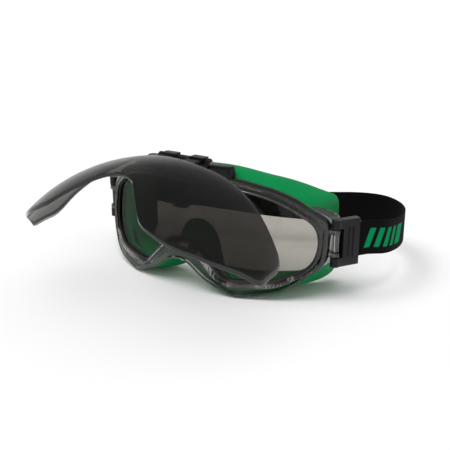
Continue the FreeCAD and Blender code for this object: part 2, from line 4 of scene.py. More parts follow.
import bmesh
import bpy
import numpy as np
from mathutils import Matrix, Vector

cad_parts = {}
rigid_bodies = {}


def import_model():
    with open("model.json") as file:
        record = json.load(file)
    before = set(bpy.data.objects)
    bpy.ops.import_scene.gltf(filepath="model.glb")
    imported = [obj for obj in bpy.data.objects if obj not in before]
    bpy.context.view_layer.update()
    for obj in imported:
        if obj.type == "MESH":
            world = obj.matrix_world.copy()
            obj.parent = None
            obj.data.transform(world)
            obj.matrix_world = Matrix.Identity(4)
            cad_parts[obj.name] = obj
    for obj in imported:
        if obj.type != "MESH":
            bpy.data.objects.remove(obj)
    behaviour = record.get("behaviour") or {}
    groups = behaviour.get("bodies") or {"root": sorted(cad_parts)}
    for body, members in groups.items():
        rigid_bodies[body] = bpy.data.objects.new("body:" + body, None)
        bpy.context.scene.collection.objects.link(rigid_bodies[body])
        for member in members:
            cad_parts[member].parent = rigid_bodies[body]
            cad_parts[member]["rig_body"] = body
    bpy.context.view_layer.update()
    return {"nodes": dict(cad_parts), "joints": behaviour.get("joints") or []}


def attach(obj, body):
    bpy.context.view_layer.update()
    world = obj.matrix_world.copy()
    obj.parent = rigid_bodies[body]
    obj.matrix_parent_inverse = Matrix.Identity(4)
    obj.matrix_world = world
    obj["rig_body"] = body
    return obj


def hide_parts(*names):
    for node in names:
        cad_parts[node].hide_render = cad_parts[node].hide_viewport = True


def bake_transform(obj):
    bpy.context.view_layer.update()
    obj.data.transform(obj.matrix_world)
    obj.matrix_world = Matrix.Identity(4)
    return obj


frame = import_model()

# Shapes are drawn in millimetres with the middle plane at x = 0 and the floor near z = 0.
# The shade's hinge axis passes through HINGE, which ties the drawing to the row frame.
HINGE = np.array((0.0, 9.0, 78.0))
JOINT_AT = {joint["name"]: joint.get("pos_m") for joint in frame["joints"]}
SHIFT = np.array(JOINT_AT["shade_flip"]) * 1000 - HINGE
FLOOR_Z = -0.471

# Frame: a barrel face that leans back at its top.
RIM_FRONT_Y = 4.9
RIM_RADIUS = 126.3
RIM_LEAN = math.radians(7.0)
RIM_LEAN_Z = 46.5
FRAME_BACK_Y = 13.5
FRAME_BACK_RADIUS = 108.0
FLANGE = 1.4
CAVITY = 3.0                # cavity wall beyond the aperture
SIDE_VENT_Z = ((21.5, 25.5), (29.5, 43.5))
SIDE_VENT_REACH = (0.35, 0.77)  # share of the way from the front of the side wall to its back
SIDE_VENT_ROWS = (2, 5)         # the same two places, as rings of the wall
SIDE_VENT_X = 75.0              # vents lie on the rim beyond this
WALL_SHARES = (0.1, 0.22, SIDE_VENT_REACH[0], 0.5, 0.64, SIDE_VENT_REACH[1], 0.9)
WALL_INSET = 0.4            # side wall, in from the rim
WALL_DEPTH = 3.0            # where it starts, behind the front
TEMPLE_STEP = 1.7           # the wall steps in by this much more, except at the temples
TEMPLE_STEP_X = (68.0, 80.0)
BROW_Z = (60.0, 66.0)       # the brow vents fade in over this height
BROW_END_X = (27.0, 28.0)   # and end here
SLOT_X = (7.5, 22.5)        # brow vent slots, either side of the middle
SLOT_HALF_WIDTH = 5.0
SLOT_EDGE = 0.8
SLOT_DEPTH = 5.0

# Profile of the frame's front, from the aperture out to the rim.
INNER_BEAD = ((0.0, 1.4), (0.0, 0.6), (0.25, 0.15), (0.8, -0.1), (1.4, 0.0), (1.8, 0.4))  # (out, depth)
GROOVE = ((0.42, 0.5), (0.5, 0.95), (0.58, 0.45))       # (share of the way to the rim, depth)
OUTER_BEAD = (                                          # (in from the rim, depth, 1 where slots cut)
    (2.7, 0.05, 0), (2.5, 0.0, 1), (2.0, -0.4, 1), (1.5, -0.55, 1), (1.3, -0.55, 0),
    (0.6, -0.35, 0), (0.15, 0.25, 0), (0.0, 1.0, 0), (0.0, 2.2, 0), (0.35, 2.8, 0))

SEAL_BACK_Y = 25.0
SEAL_BACK_RADIUS = 90.0
SEAL_TEMPLE_Y = 64.0
SEAL_FLANGE = 8.0
SEAL_TEMPLE_X = (66.0, 80.0)    # the front lip moves from the rim to the cavity over this
SEAL_LIP_IN = 0.5               # lip in from the rim
SEAL_LIP_OUT = 2.7              # lip out from the aperture, at the temples
SEAL_LIP_DEPTH = 3.1            # lip behind the front
SEAL_LIP_FORWARD = 9.0          # lip ahead of the frame's back, at the temples
SEAL_WALL_EASE = 0.85           # power by which the wall leaves the lip early
SEAL_SWELL = 0.8
SEAL_SKIN = 2.8
SEAL_INNER_OUT = 1.2            # where the inner wall ends: out from the aperture, and depth
SEAL_INNER_DEPTH = 6.0
# Rear edge of the seal, as (in from its outline, back from the face): rolled over, then a flange.
SEAL_ROLL = (
    (0.15, -0.6), (0.6, -0.1), (1.4, 0.1), (3.0, -0.1), (5.5, -0.5), (SEAL_FLANGE - 0.6, -0.9),
    (SEAL_FLANGE, -1.4), (SEAL_FLANGE - 0.4, -2.0), (5.5, -2.4), (3.2, -3.2))

SHADE_RADIUS = 101.0
SHADE_THICK = 2.0
SHADE_TOP_Y = -6.8
SHADE_TOP_Z = -13.2
SHADE_BULGE = 32.0
SHADE_RAISED = math.radians(-80.8)
SHADE_MIDDLE = (0.0, -26.0)

CLIP_AT = (87.4, 38.2)
CLIP_FLARE = math.radians(30.0)
CLIP_Z = (20.0, 48.6)
JAW_HEIGHT = 5.4
LUG_R = 2.7
LUG_ROOT = 4.2              # how far a lug's root reaches into the frame's side wall
LUG_GAP = 0.4               # between a lug and the jaw of its clip
LUG_HEIGHT = 3.0
LUG_EDGE = 0.6
STRAP_WIDTH = 21.5
STRAP_THICK = 1.6
STRAP_BOTTOM_Z = 24.0

# Outlines as corners (x, z, corner radius) of the half on the wearer's left, from the brow
# round to the nose.
RIM_CORNERS = (
    (30.0, 71.8, 90.0), (62.0, 64.0, 60.0), (84.2, 47.0, 7.0), (84.2, 21.0, 14.0),
    (65.0, 4.0, 25.0), (38.0, -1.0, 14.0), (19.0, 7.0, 40.0), (5.0, 16.4, 12.0))
APERTURE_CORNERS = (
    (28.0, 65.2, 90.0), (56.0, 59.8, 60.0), (77.5, 45.0, 14.0), (80.2, 33.0, 25.0),
    (77.5, 19.5, 16.0), (60.0, 9.6, 25.0), (29.5, 7.8, 6.0), (9.5, 28.0, 9.0))
SEAL_CORNERS = (
    (26.0, 75.0, 80.0), (58.0, 66.5, 60.0), (76.5, 54.5, 8.0), (76.5, 8.0, 10.0),
    (70.0, 0.4, 9.0), (34.0, 0.2, 12.0), (12.0, 2.5, 6.0), (6.0, 30.0, 8.0))
SHADE_CORNERS = (
    (22.0, -1.0, 25.0), (38.0, 3.5, 40.0), (60.0, -3.0, 90.0), (84.8, -19.5, 12.0),
    (84.6, -41.0, 5.0), (68.0, -57.0, 45.0), (50.0, -67.3, 30.0), (33.0, -67.0, 8.0),
    (7.5, -41.0, 14.0))
EYE = np.array((42.0, 36.0))
HALF_COLUMNS = 220

NEAR_ROUTE = (
    (104.0, 67.5, 22.5), (105.5, 80.0, 20.5), (104.0, 97.0, 18.5), (98.0, 117.0, 17.0),
    (87.0, 133.0, 16.0), (71.0, 142.0, 15.5), (54.0, 138.0, 15.5), (39.0, 124.0, 16.5),
    (20.0, 109.0, 18.5), (1.0, 99.5, 20.0), (-19.0, 93.0, 21.3), (-41.4, 87.9, 22.0))
FAR_ROUTE = ((-104.0, 71.5, 23.0), (-98.0, 77.0, 22.2), (-85.6, 79.5, 22.0))
SLIDER_AT = (-62.0, 84.0, 22.0)
SLIDER_RUN = (-0.98234, -0.18711, 0.0)  # direction of the straight stretch under the slider
TAIL_SPAN = (-4.5, 14.5)                # folded end of the band, measured along that stretch
TAIL_DEPTH = (-3.6, -2.0)               # how far inside the band's middle it lies

# Bars printed on the band, as (start along the band, width, lower edge, upper edge).
PRINT_BARS = ((11.0, 4.4, 4.4, 17.0), (18.2, 4.4, 4.4, 17.0), (25.4, 4.4, 4.4, 17.0),
              (32.6, 4.4, 4.4, 17.0), (39.8, 9.5, 4.4, 17.0))
PRINT_LEAN = 4.5
PRINT_STEPS = 13            # points along each side of a bar

PLASTIC_IOR = 1.5
SMOKE_IOR = 1.58            # polycarbonate

CAMERA_AT = (253.7, -312.2, 172.0)
CAMERA_AZIMUTH = math.radians(34.93)
CAMERA_ELEVATION = math.radians(18.30)
CAMERA_LENS = 55.95
SUN_STRENGTH = 2.25
SUN_ANGLE = math.radians(55)
SUN_TURN = (math.radians(18), math.radians(-12), 0)
FLOOR_REACH = 30.0          # metres
FLOOR_HEIGHT = -0.0003      # metres, just under the goggles


# ------------------------------------------------------------------ outlines
def unit(vectors):
    return vectors / np.linalg.norm(vectors, axis=-1, keepdims=True)


def half_line(corners, arc_steps=14, run_steps=8):
    """Half outline from the middle plane at the top to the middle plane at the bottom.

    Each corner is a true arc: its centre plus the two radii, mixed by sines of the share of the
    turn. Straight runs join the arcs."""
    half = np.array(corners, float)
    points = np.vstack([half[:, :2], half[::-1, :2] * (-1, 1)])
    radii = np.concatenate([half[:, 2], half[::-1, 2]])[:, None]
    before = unit(np.roll(points, 1, axis=0) - points)
    after = unit(np.roll(points, -1, axis=0) - points)
    half_open = np.arccos((before * after).sum(axis=1, keepdims=True)) / 2
    start = points + before * radii / np.tan(half_open)
    end = points + after * radii / np.tan(half_open)
    centre = points + unit(before + after) * radii / np.sin(half_open)
    turn = (math.pi - 2 * half_open)[:, None]
    share = np.linspace(0, 1, arc_steps)[None, :, None]
    arcs = centre[:, None] + (np.sin((1 - share) * turn) * (start - centre)[:, None]
                              + np.sin(share * turn) * (end - centre)[:, None]) / np.sin(turn)
    along = np.linspace(0, 1, run_steps + 2)[None, 1:-1, None]
    runs = end[:, None] * (1 - along) + np.roll(start, -1, axis=0)[:, None] * along
    loop = np.concatenate([arcs, runs], axis=1).reshape(-1, 2)
    line = np.roll(loop, run_steps // 2, axis=0)[:len(loop) // 2]
    return np.vstack([line[:1] * (0, 1), line, line[-1:] * (0, 1)])


def polar_share(line):
    """Share of the turn about the middle of one eye, from 0 at the brow to 1 at the nose."""
    turn = np.unwrap(np.arctan2(line[:, 1] - EYE[1], line[:, 0] - EYE[0]))
    return (turn - turn[0]) / (turn[-1] - turn[0])


def even(line, count):
    """The same line as points at even spacing along it."""
    run = np.concatenate([[0], np.cumsum(np.linalg.norm(np.diff(line, axis=0), axis=1))])
    at = np.linspace(0, run[-1], count)
    return np.stack([np.interp(at, run, column) for column in line.T], axis=1)


def both_halves(half):
    """Closed outline: one half, and its mirror image back to the start."""
    return np.vstack([half, half[-2:0:-1] * (-1, 1)])


def matched(corners, share):
    """Closed outline whose points lie at the given shares of the turn about each eye."""
    line = half_line(corners)
    found = polar_share(line)
    return both_halves(np.stack([np.interp(share, found, column) for column in line.T], axis=1))


def smoothed(loop, passes):
    """Each point moved to a quarter of both neighbours and half of itself, again and again."""
    for _ in range(passes):
        loop = (np.roll(loop, 1, axis=0) + 2 * loop + np.roll(loop, -1, axis=0)) / 4
    return loop


def outward(loop, passes=4):
    """Unit normals of a closed outline that runs clockwise."""
    along = np.roll(loop, -1, axis=0) - np.roll(loop, 1, axis=0)
    return unit(smoothed(unit(np.stack([-along[:, 1], along[:, 0]], axis=1)), passes))


def ease(low, high, value):
    share = np.clip((value - low) / (high - low), 0, 1)
    return share * share * (3 - 2 * share)


# ------------------------------------------------------------------ meshes
def grid_faces(rows, columns, close_rows=False, close_columns=False):
    """Quads of a grid of points, as an array (row, column, 4)."""
    r = np.arange(rows if close_rows else rows - 1)[:, None]
    c = np.arange(columns if close_columns else columns - 1)[None, :]
    r2, c2 = (r + 1) % rows, (c + 1) % columns
    return np.stack(np.broadcast_arrays(r * columns + c, r * columns + c2,
                                        r2 * columns + c2, r2 * columns + c), axis=-1)


def to_frame(points):
    """Millimetres of the drawing to metres of the row frame."""
    return (points + SHIFT) / 1000


def add_mesh(name, points, faces, material, uv=None):
    """A mesh from points in millimetres and lists of faces, smooth, with its faces outwards."""
    mesh = bpy.data.meshes.new(name)
    mesh.from_pydata(to_frame(points.reshape(-1, 3)).tolist(), [], [list(f) for f in faces])
    if uv is not None:
        loops = np.zeros(len(mesh.loops), np.int32)
        mesh.loops.foreach_get("vertex_index", loops)
        layer = mesh.uv_layers.new(name="run")
        layer.data.foreach_set("uv", uv.reshape(-1, 2)[loops].ravel())
    work = bmesh.new()
    work.from_mesh(mesh)
    bmesh.ops.remove_doubles(work, verts=work.verts, dist=1e-6)
    bmesh.ops.recalc_face_normals(work, faces=work.faces)
    work.to_mesh(mesh)
    work.free()
    mesh.shade_smooth()
    mesh.materials.append(material)
    piece = bpy.data.objects.new(name, mesh)
    bpy.context.scene.collection.objects.link(piece)
    return piece


def polish(name, node, width, material):
    """Copy of a CAD node with merged points and small round edges, shown in its place."""
    source = frame["nodes"][node]
    mesh = source.data.copy()
    mesh.name = name
    work = bmesh.new()
    work.from_mesh(mesh)
    bmesh.ops.remove_doubles(work, verts=work.verts, dist=2e-6)
    bmesh.ops.dissolve_limit(work, angle_limit=math.radians(1.0), verts=work.verts, edges=work.edges)
    work.to_mesh(mesh)
    work.free()
    mesh.materials.clear()
    mesh.materials.append(material)
    mesh.shade_smooth()
    piece = bpy.data.objects.new(name, mesh)
    bpy.context.scene.collection.objects.link(piece)
    bevel = piece.modifiers.new("round edges", "BEVEL")
    bevel.width = width / 1000
    bevel.segments = 3
    bevel.limit_method = "ANGLE"
    bevel.angle_limit = math.radians(40)
    bevel.harden_normals = True
    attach(piece, source["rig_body"])
    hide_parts(node)


# ------------------------------------------------------------------ materials
def colour(code):
    """Linear colour of an sRGB hex value."""
    value = np.array([int(code[i:i + 2], 16) for i in (1, 3, 5)]) / 255
    linear = np.where(value <= 0.04045, value / 12.92, ((value + 0.055) / 1.055) ** 2.4)
    return (*linear.tolist(), 1.0)


def add_node(tree, kind, settings=None, inputs=None):
    """Add a node. A setting is a property. An input is a value or the socket that drives it."""
    node = tree.nodes.new(kind)
    for key, value in (settings or {}).items():
        setattr(node, key, value)
    for key, value in (inputs or {}).items():
        if isinstance(value, bpy.types.NodeSocket):
            tree.links.new(value, node.inputs[key])
        else:
            node.inputs[key].default_value = value
    return node


def start_material(name):
    material = bpy.data.materials.new(name)
    material.use_nodes = True
    material.node_tree.nodes.clear()
    return material, material.node_tree


def finish_material(tree, shader):
    add_node(tree, "ShaderNodeOutputMaterial", None, {"Surface": shader})


def per_metre(size_mm):
    """Noise scale whose features are about this many millimetres."""
    return 1000.0 / size_mm


def grained(name, dark, light, roughness, grain_mm, grain_depth, specular=0.5):
    """Moulded or pressed surface: slow colour drift, uneven roughness and a fine grain."""
    material, tree = start_material(name)
    at = add_node(tree, "ShaderNodeTexCoord").outputs["Object"]
    drift = add_node(tree, "ShaderNodeTexNoise", None,
                     {"Vector": at, "Scale": per_metre(18), "Detail": 3.0}).outputs["Fac"]
    tone = add_node(tree, "ShaderNodeMix", {"data_type": "RGBA"},
                    {"Factor": drift, 6: colour(dark), 7: colour(light)}).outputs[2]
    fine = add_node(tree, "ShaderNodeTexNoise", None,
                    {"Vector": at, "Scale": per_metre(grain_mm), "Detail": 2.0}).outputs["Fac"]
    rough = add_node(tree, "ShaderNodeMapRange", None,
                     {"Value": fine, "To Min": roughness[0], "To Max": roughness[1]}).outputs[0]
    bump = add_node(tree, "ShaderNodeBump", None,
                    {"Height": fine, "Distance": grain_depth / 1000, "Strength": 0.6})
    shader = add_node(tree, "ShaderNodeBsdfPrincipled", None, {
        "Base Color": tone, "Roughness": rough, "IOR": PLASTIC_IOR,
        "Specular IOR Level": specular, "Normal": bump.outputs[0]})
    finish_material(tree, shader.outputs[0])
    return material


def pane(name, through, gloss_rough, haze_mm, straight_on, at_edges):
    """Thin clear sheet: tinted at each face it is seen through, and glossier at a slant."""
    material, tree = start_material(name)
    at = add_node(tree, "ShaderNodeTexCoord").outputs["Object"]
    haze = add_node(tree, "ShaderNodeTexNoise", None,
                    {"Vector": at, "Scale": per_metre(haze_mm), "Detail": 4.0}).outputs["Fac"]
    tint = add_node(tree, "ShaderNodeMix", {"data_type": "RGBA"},
                    {"Factor": haze, 6: colour(through[0]), 7: colour(through[1])}).outputs[2]
    see = add_node(tree, "ShaderNodeBsdfTransparent", None, {"Color": tint})
    rough = add_node(tree, "ShaderNodeMapRange", None,
                     {"Value": haze, "To Min": gloss_rough[0], "To Max": gloss_rough[1]}).outputs[0]
    gloss = add_node(tree, "ShaderNodeBsdfGlossy", None, {"Color": (1, 1, 1, 1), "Roughness": rough})
    facing = add_node(tree, "ShaderNodeLayerWeight", None, {"Blend": 0.5}).outputs["Facing"]
    steep = add_node(tree, "ShaderNodeMath", {"operation": "POWER"}, {0: facing, 1: 5.0}).outputs[0]
    edge = add_node(tree, "ShaderNodeMath", {"operation": "MULTIPLY_ADD", "use_clamp": True},
                    {0: steep, 1: at_edges, 2: straight_on})
    mixed = add_node(tree, "ShaderNodeMixShader", None,
                     {0: edge.outputs[0], 1: see.outputs[0], 2: gloss.outputs[0]})
    finish_material(tree, mixed.outputs[0])
    return material


def smoke_glass(name, tint, rough):
    """Thick transparent plastic: bends what is behind it, with faint flow marks."""
    material, tree = start_material(name)
    at = add_node(tree, "ShaderNodeTexCoord").outputs["Object"]
    flow = add_node(tree, "ShaderNodeTexNoise", None,
                    {"Vector": at, "Scale": per_metre(9), "Detail": 2.0}).outputs["Fac"]
    tone = add_node(tree, "ShaderNodeMix", {"data_type": "RGBA"},
                    {"Factor": flow, 6: colour(tint[0]), 7: colour(tint[1])}).outputs[2]
    bump = add_node(tree, "ShaderNodeBump", None, {"Height": flow, "Distance": 0.0002, "Strength": 0.25})
    shader = add_node(tree, "ShaderNodeBsdfPrincipled", None, {
        "Base Color": tone, "Roughness": rough, "IOR": SMOKE_IOR, "Transmission Weight": 1.0,
        "Normal": bump.outputs[0]})
    finish_material(tree, shader.outputs[0])
    return material


def woven(name, dark, light, rib_mm, pick_mm):
    """Knitted elastic: ribs along the band and picks across it, from UV in millimetres, with painted
    shade in the valleys and painted light on the crests.
    """
    material, tree = start_material(name)
    uv = add_node(tree, "ShaderNodeUVMap", {"uv_map": "run"}).outputs[0]
    split = add_node(tree, "ShaderNodeSeparateXYZ", None, {0: uv})
    rib_turn = add_node(tree, "ShaderNodeMath", {"operation": "MULTIPLY"},
                        {0: split.outputs["Y"], 1: 2 * math.pi / rib_mm}).outputs[0]
    pick_turn = add_node(tree, "ShaderNodeMath", {"operation": "MULTIPLY"},
                         {0: split.outputs["X"], 1: 2 * math.pi / pick_mm}).outputs[0]
    rib = add_node(tree, "ShaderNodeMath", {"operation": "SINE"}, {0: rib_turn}).outputs[0]
    pick = add_node(tree, "ShaderNodeMath", {"operation": "SINE"}, {0: pick_turn}).outputs[0]
    weave = add_node(tree, "ShaderNodeMath", {"operation": "MULTIPLY"}, {0: rib, 1: pick}).outputs[0]
    height = add_node(tree, "ShaderNodeMath", {"operation": "MULTIPLY_ADD"},
                      {0: rib, 1: 0.6, 2: weave}).outputs[0]
    # painted shade and light: darker in the weave's valleys, lighter on its crests
    painted_rib_shade = add_node(tree, "ShaderNodeMapRange", None,
                        {"Value": height, "From Min": -1.6, "From Max": 1.6}).outputs[0]
    tone = add_node(tree, "ShaderNodeMix", {"data_type": "RGBA"},
                    {"Factor": painted_rib_shade, 6: colour(dark), 7: colour(light)}).outputs[2]
    bump = add_node(tree, "ShaderNodeBump", None,
                    {"Height": height, "Distance": 0.0002, "Strength": 0.5})
    shader = add_node(tree, "ShaderNodeBsdfPrincipled", None, {
        "Base Color": tone, "Roughness": 0.85, "Specular IOR Level": 0.08,
        "Normal": bump.outputs[0]})
    finish_material(tree, shader.outputs[0])
    return material


def drawn_steel(name, base, rough):
    """Drawn steel wire or strip: roughness varied by a fine noise."""
    material, tree = start_material(name)
    at = add_node(tree, "ShaderNodeTexCoord").outputs["Object"]
    lines = add_node(tree, "ShaderNodeTexNoise", None,
                     {"Vector": at, "Scale": per_metre(0.5), "Detail": 2.0}).outputs["Fac"]
    spread = add_node(tree, "ShaderNodeMapRange", None,
                      {"Value": lines, "To Min": rough[0], "To Max": rough[1]}).outputs[0]
    shader = add_node(tree, "ShaderNodeBsdfPrincipled", None,
                      {"Base Color": colour(base), "Metallic": 1.0, "Roughness": spread})
    finish_material(tree, shader.outputs[0])
    return material


# Injection-moulded polycarbonate, smoke tinted: dark, with light caught along its ridges.
smoke_polycarbonate = smoke_glass("smoke_polycarbonate_moulded", ("#958f8c", "#a39d9a"), 0.03)
# Hard-coated clear polycarbonate: a faint grey sheet with clean reflections.
clear_polycarbonate = pane("clear_polycarbonate_lens", ("#cfcdc8", "#d3d1cc"), (0.02, 0.06), 40,
                           0.012, 0.08)
# Welding-tinted polycarbonate: a dark neutral sheet with a strong gloss.
tinted_polycarbonate = pane("tinted_polycarbonate_shade", ("#918f8d", "#969491"), (0.03, 0.08), 40,
                            0.025, 0.45)
# The shade's cut edge, where light is lost along the sheet: nearly black, polished.
shade_edge = grained("tinted_polycarbonate_edge", "#141313", "#1d1b1b", (0.08, 0.16), 6.0, 0.01)
# Soft thermoplastic elastomer, moulded in a satin tool: even green, hardly any gloss.
green_elastomer = grained("green_elastomer_moulded", "#007d42", "#008a4b", (0.5, 0.62), 0.5, 0.03,
                          specular=0.12)
# Glass-filled nylon from a spark-textured tool: black, fine grain, soft gloss.
black_nylon = grained("black_nylon_spark_textured", "#070707", "#0d0d0d", (0.34, 0.48), 0.4, 0.05,
                      specular=0.25)
# Moulded rubber gasket: dark grey and matt.
rubber = grained("rubber_gasket_moulded", "#2c2c2b", "#363635", (0.5, 0.65), 0.6, 0.03, specular=0.3)
# Knitted elastic, with painted shade in its rib valleys; its 0.9 mm ribs are drawn a little coarse so
# that they show.
knitted_elastic = woven("knitted_elastic_black", "#050505", "#121212", 1.1, 1.6)
# Rubber print on the elastic: green, with the ribs showing through as bumps and as painted shade in
# their valleys.
printed_green = woven("rubber_print_green", "#00784a", "#009a60", 1.1, 1.6)
# Stainless hinge pin and spring strip, drawn.
bright_steel = drawn_steel("stainless_steel_drawn", "#b9babb", (0.22, 0.38))

# ------------------------------------------------------------------ frame rings
rim_half = even(half_line(RIM_CORNERS), HALF_COLUMNS)
shares = polar_share(rim_half)
RIM = smoothed(both_halves(rim_half), 6)
APERTURE = smoothed(matched(APERTURE_CORNERS, shares), 6)
SEAL = smoothed(matched(SEAL_CORNERS, shares), 8)
RIM_OUT, APERTURE_OUT, SEAL_OUT = outward(RIM), outward(APERTURE), outward(SEAL, 24)


def front_y(xz, inset):
    """Front of the frame: a barrel leaned back by rotation, less the inset, which is depth into it."""
    radius = RIM_RADIUS - inset
    barrel = RIM_FRONT_Y + RIM_RADIUS - np.sqrt(radius ** 2 - xz[:, 0] ** 2)
    lean = (xz[:, 1] - RIM_LEAN_Z) * math.sin(RIM_LEAN)
    return RIM_FRONT_Y + (barrel - RIM_FRONT_Y + lean) / math.cos(RIM_LEAN)


def back_y(xz):
    """Back of the frame: an upright barrel, deeper at the temples."""
    return FRAME_BACK_Y + FRAME_BACK_RADIUS - np.sqrt(FRAME_BACK_RADIUS ** 2 - xz[:, 0] ** 2)


def with_y(xz, y):
    return np.stack([xz[:, 0], y, xz[:, 1]], axis=1)


def frame_points():
    """Rings of the frame: a profile of beads, a groove, a step and a channel, carried round the rim.

    A front ring lies between the aperture and the rim and is set into the front barrel by its
    depth. A wall ring lies on the outer or the cavity wall, at a share of the way to the back."""
    across = np.abs(RIM[:, 0])
    brow = ease(*BROW_Z, RIM[:, 1]) * (1 - ease(*BROW_END_X, across))
    in_slot = sum(ease(SLOT_HALF_WIDTH, SLOT_HALF_WIDTH - SLOT_EDGE, np.abs(across - x))
                  for x in SLOT_X) * brow
    step = TEMPLE_STEP * (1 - ease(*TEMPLE_STEP_X, across))
    rings, shares_back = [], []
    for mm, inset in INNER_BEAD:
        ring = APERTURE + APERTURE_OUT * mm
        rings.append(with_y(ring, front_y(ring, inset)))
    for mix, inset in GROOVE:
        ring = APERTURE * (1 - mix) + RIM * mix
        rings.append(with_y(ring, front_y(ring, inset)))
    for mm, inset, slot in OUTER_BEAD:
        ring = RIM - RIM_OUT * mm
        rings.append(with_y(ring, front_y(ring, inset + SLOT_DEPTH * in_slot * slot)))
    outer = RIM - RIM_OUT * (WALL_INSET + step)[:, None]
    cavity = APERTURE + APERTURE_OUT * CAVITY
    outer_front, cavity_front = front_y(outer, WALL_DEPTH), front_y(cavity, FLANGE)
    first_wall = len(rings)
    for share in WALL_SHARES:
        rings.append(with_y(outer, outer_front * (1 - share) + back_y(outer) * share))
    edge = outer - RIM_OUT * 0.35
    rings.append(with_y(edge, back_y(edge)))
    edge = cavity + APERTURE_OUT * 0.3
    rings.append(with_y(edge, back_y(edge)))
    first_cavity = len(rings)
    for share in reversed(WALL_SHARES):
        rings.append(with_y(cavity, cavity_front * (1 - share) + back_y(cavity) * share))
    rings.append(with_y(cavity, cavity_front))
    return np.array(rings), first_wall, first_cavity


def make_frame():
    """The frame's rings as one closed skin, with side vents cut through both of its walls."""
    points, wall, cavity = frame_points()
    count = len(WALL_SHARES)
    rows, columns = points.shape[:2]
    faces = grid_faces(rows, columns, True, True)
    keep = np.ones(faces.shape[:2], bool)
    low, high = SIDE_VENT_ROWS
    sides = []
    for bottom, top in SIDE_VENT_Z:
        for side in (1, -1):
            found = np.flatnonzero((RIM[:, 0] * side > SIDE_VENT_X)
                                   & (RIM[:, 1] > bottom) & (RIM[:, 1] < top))
            first, last = found[0], found[-1]
            keep[wall + low:wall + high, first:last] = False
            keep[cavity + count - 1 - high:cavity + count - 1 - low, first:last] = False
            row = np.concatenate([np.full(last - first, low), np.arange(low, high),
                                  np.full(last - first, high), np.arange(high, low, -1)])
            column = np.concatenate([np.arange(first, last), np.full(high - low, last),
                                     np.arange(last, first, -1), np.full(high - low, first)])
            outside = (wall + row) * columns + column
            inside = (cavity + count - 1 - row) * columns + column
            sides.append(np.stack([outside, np.roll(outside, -1), np.roll(inside, -1), inside], axis=-1))
    quads = np.vstack([faces[keep], *sides])
    piece = add_mesh("frame_body", points, quads, smoke_polycarbonate)
    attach(piece, "frame")
    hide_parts("frame_shell")


def rounded_plate(outline, bottom, top, edge):
    """Closed plate on an outline in plan: rings drawn in by the edge radius at its top and bottom."""
    centre = outline.mean(axis=0)
    reach = np.linalg.norm(outline - centre, axis=1, keepdims=True)
    turn = np.linspace(0, math.pi / 2, 5)
    draw_in = np.concatenate([edge * (1 - np.sin(turn)), edge * (1 - np.cos(turn))])
    height = np.concatenate([bottom + edge * (1 - np.cos(turn)), top - edge * (1 - np.sin(turn))])
    rings = [centre + (outline - centre) * (1 - d / reach) for d in draw_in]
    rings = [rings[0] * 0 + centre] + rings + [rings[0] * 0 + centre]
    height = np.concatenate([[bottom], height, [top]])
    points = np.array([np.column_stack([ring, np.full(len(ring), z)]) for ring, z in zip(rings, height)])
    return points, grid_faces(len(points), len(outline), False, True).reshape(-1, 4)


def make_lugs():
    """Two lugs each side: a round eye on the pin's axis with a root in the frame's side wall."""
    for side, name in ((1, "left"), (-1, "right")):
        for level, bottom in (("lower", CLIP_Z[0] + JAW_HEIGHT + LUG_GAP),
                              ("upper", CLIP_Z[1] - JAW_HEIGHT - LUG_GAP - LUG_HEIGHT)):
            turn = np.linspace(0, 2 * math.pi, 48, endpoint=False)
            x = CLIP_AT[0] + LUG_R * np.cos(turn) - LUG_ROOT * ease(-0.2, 0.5, -np.cos(turn))
            y = CLIP_AT[1] + LUG_R * np.sin(turn)
            outline = np.stack([side * x, y], axis=1)
            points, faces = rounded_plate(outline, bottom, bottom + LUG_HEIGHT, LUG_EDGE)
            piece = add_mesh(f"clip_lug_{name}_{level}", points, faces, smoke_polycarbonate)
            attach(piece, "frame")


# ------------------------------------------------------------------ face seal
def make_seal():
    """Face seal: a skin from a front lip behind the rim to the rear edge on the wearer's face.

    The wall mixes the lip ring into the rear ring along an eased share and swells slightly between.
    The rear edge is rolled over, and a soft flange turns inwards from it before the inner wall
    runs forward again to the gasket."""
    temple = ease(*SEAL_TEMPLE_X, np.abs(RIM[:, 0]))[:, None]
    lip = ((RIM - RIM_OUT * SEAL_LIP_IN) * (1 - temple)
           + (APERTURE + APERTURE_OUT * SEAL_LIP_OUT) * temple)
    lip_y = (front_y(lip, SEAL_LIP_DEPTH) * (1 - temple[:, 0])
             + (back_y(lip) - SEAL_LIP_FORWARD) * temple[:, 0])
    rear_y = np.minimum(SEAL_BACK_Y + SEAL_BACK_RADIUS
                        - np.sqrt(SEAL_BACK_RADIUS ** 2 - SEAL[:, 0] ** 2), SEAL_TEMPLE_Y)
    rings = []
    for share in np.linspace(0, 1, 14):
        mix = share ** SEAL_WALL_EASE
        ring = lip * (1 - mix) + SEAL * mix + RIM_OUT * SEAL_SWELL * math.sin(math.pi * share)
        rings.append(with_y(ring, lip_y * (1 - share) + (rear_y - 1.2) * share))
    for mm, back in SEAL_ROLL:
        ring = SEAL - SEAL_OUT * mm
        rings.append(with_y(ring, rear_y + back))
    inner = APERTURE + APERTURE_OUT * SEAL_INNER_OUT
    inner_y = front_y(inner, SEAL_INNER_DEPTH)
    rear_inner = SEAL - SEAL_OUT * SEAL_SKIN
    for share in np.linspace(0.12, 1, 10):
        ring = rear_inner * (1 - share) + inner * share
        rings.append(with_y(ring, (rear_y - 4.0) * (1 - share) + inner_y * share))
    front = lip - RIM_OUT * 1.6
    rings.append(with_y(front, lip_y + 0.5))
    points = np.array(rings)
    points[..., 2] = np.maximum(points[..., 2], FLOOR_Z + 0.05)
    faces = grid_faces(len(points), points.shape[1], True, True).reshape(-1, 4)
    piece = add_mesh("face_cushion", points, faces, green_elastomer)
    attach(piece, "frame")
    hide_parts("face_seal")


